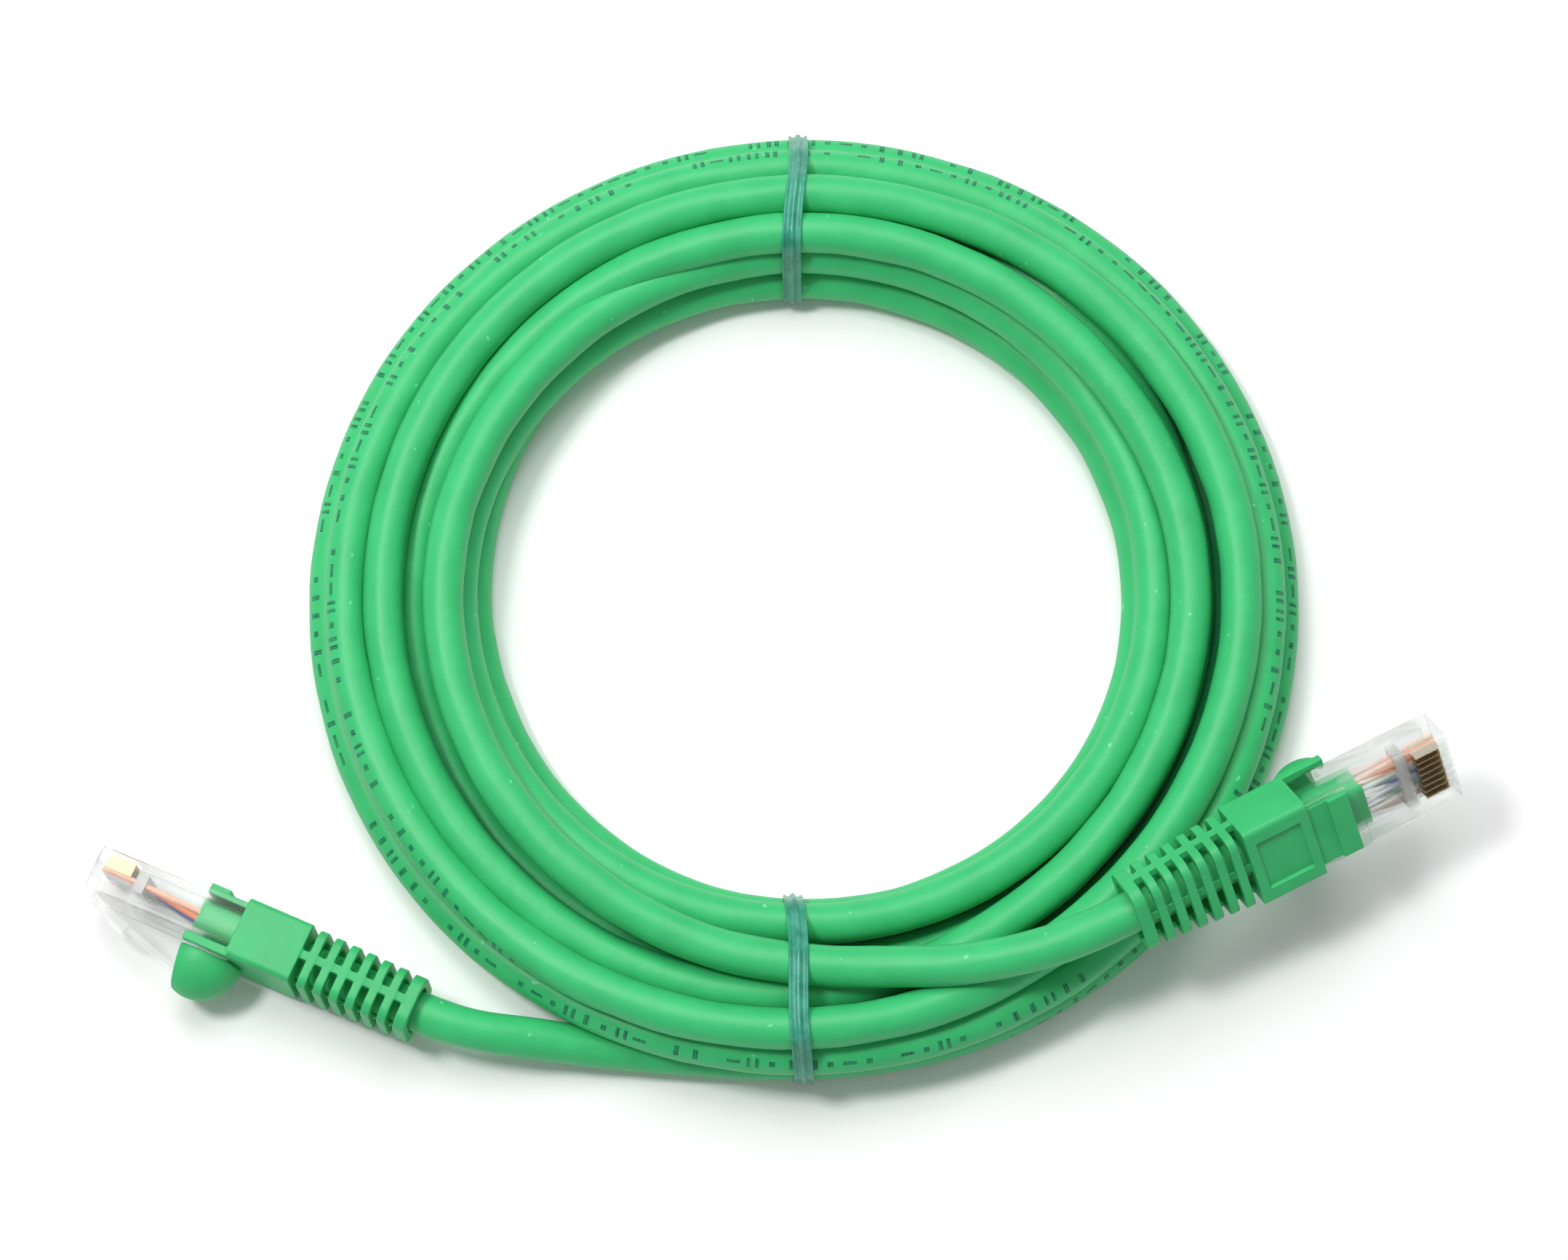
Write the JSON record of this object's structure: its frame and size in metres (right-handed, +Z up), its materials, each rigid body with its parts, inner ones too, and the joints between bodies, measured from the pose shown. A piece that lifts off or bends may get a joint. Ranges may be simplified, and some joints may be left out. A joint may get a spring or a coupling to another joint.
{
  "type": "ethernet patch cable",
  "caption": "Round green network patch cable wound into a flat ring, tied with clear ribbon ties, with a clear modular plug and a snagless slotted boot on each end.",
  "frame": {"origin": "middle of the part's bounding box, on the surface the coil lies on", "axes": "+X along the longest extent, toward the nose of plug B; +Y across the coil, away from both plugs; +Z up"},
  "size_m": [0.1988, 0.1492, 0.028],
  "materials": {
    "jacket": "satin",
    "boot": "satin",
    "clear_plug": "clear polycarbonate, moulded",
    "gold": "gold plated",
    "copper": "bare stranded copper",
    "tie_ribbon": "translucent, gloss",
    "tie_core": "galvanised",
    "insulation_white_orange": "satin",
    "insulation_orange": "satin",
    "insulation_white_green": "satin",
    "insulation_blue": "satin",
    "insulation_white_blue": "satin",
    "insulation_green": "satin",
    "insulation_white_brown": "satin",
    "insulation_brown": "satin"
  },
  "bodies": {
    "cable": {"cord_coil": "jacket", "cord_tail_a": "jacket", "cord_tail_b": "jacket", "tie_ribbon_top": "tie_ribbon", "tie_ribbon_bottom": "tie_ribbon", "tie_wire_top": "tie_core", "tie_wire_bottom": "tie_core", "boot_a": "boot", "plug_body_a": "clear_plug", "load_bar_a": "clear_plug", "jacket_end_a": "jacket", "copper_cores_a": "copper", "wire_white_orange_a": "insulation_white_orange", "wire_orange_a": "insulation_orange", "wire_white_green_a": "insulation_white_green", "wire_blue_a": "insulation_blue", "wire_white_blue_a": "insulation_white_blue", "wire_green_a": "insulation_green", "wire_white_brown_a": "insulation_white_brown", "wire_brown_a": "insulation_brown", "contact_1_a": "gold", "contact_2_a": "gold", "contact_3_a": "gold", "contact_4_a": "gold", "contact_5_a": "gold", "contact_6_a": "gold", "contact_7_a": "gold", "contact_8_a": "gold", "boot_b": "boot", "plug_body_b": "clear_plug", "load_bar_b": "clear_plug", "jacket_end_b": "jacket", "copper_cores_b": "copper", "wire_white_orange_b": "insulation_white_orange", "wire_orange_b": "insulation_orange", "wire_white_green_b": "insulation_white_green", "wire_blue_b": "insulation_blue", "wire_white_blue_b": "insulation_white_blue", "wire_green_b": "insulation_green", "wire_white_brown_b": "insulation_white_brown", "wire_brown_b": "insulation_brown", "contact_1_b": "gold", "contact_2_b": "gold", "contact_3_b": "gold", "contact_4_b": "gold", "contact_5_b": "gold", "contact_6_b": "gold", "contact_7_b": "gold", "contact_8_b": "gold"},
    "hood_a": {"hood_a": "boot"},
    "latch_a": {"latch_a": "clear_plug"},
    "hood_b": {"hood_b": "boot"},
    "latch_b": {"latch_b": "clear_plug"}
  },
  "joints": [
    {"name": "hood_press_a", "type": "hinge", "parent": "cable", "child": "hood_a", "pos_m": [-0.07715, -0.05666, 0.00721], "axis": [0.002, -0.0655, -0.9979], "range_deg": [0, 9], "stiffness_Nm_per_rad": 0.02},
    {"name": "latch_flex_a", "type": "hinge", "parent": "cable", "child": "latch_a", "pos_m": [-0.09801, -0.04647, 0.00649], "axis": [-0.002, 0.0655, 0.9979], "range_deg": [0, 11], "stiffness_Nm_per_rad": 0.02},
    {"name": "hood_press_b", "type": "hinge", "parent": "cable", "child": "hood_b", "pos_m": [0.07344, -0.03523, 0.01672], "axis": [0.318, -0.6507, -0.6895], "range_deg": [0, 9], "stiffness_Nm_per_rad": 0.02},
    {"name": "latch_flex_b", "type": "hinge", "parent": "cable", "child": "latch_b", "pos_m": [0.09445, -0.02535, 0.01709], "axis": [-0.318, 0.6507, 0.6895], "range_deg": [0, 11], "stiffness_Nm_per_rad": 0.02}
  ],
  "couplings": [
    {"joint": "latch_flex_a", "follows": "hood_press_a", "ratio": 1.2},
    {"joint": "latch_flex_b", "follows": "hood_press_b", "ratio": 1.2}
  ]
}
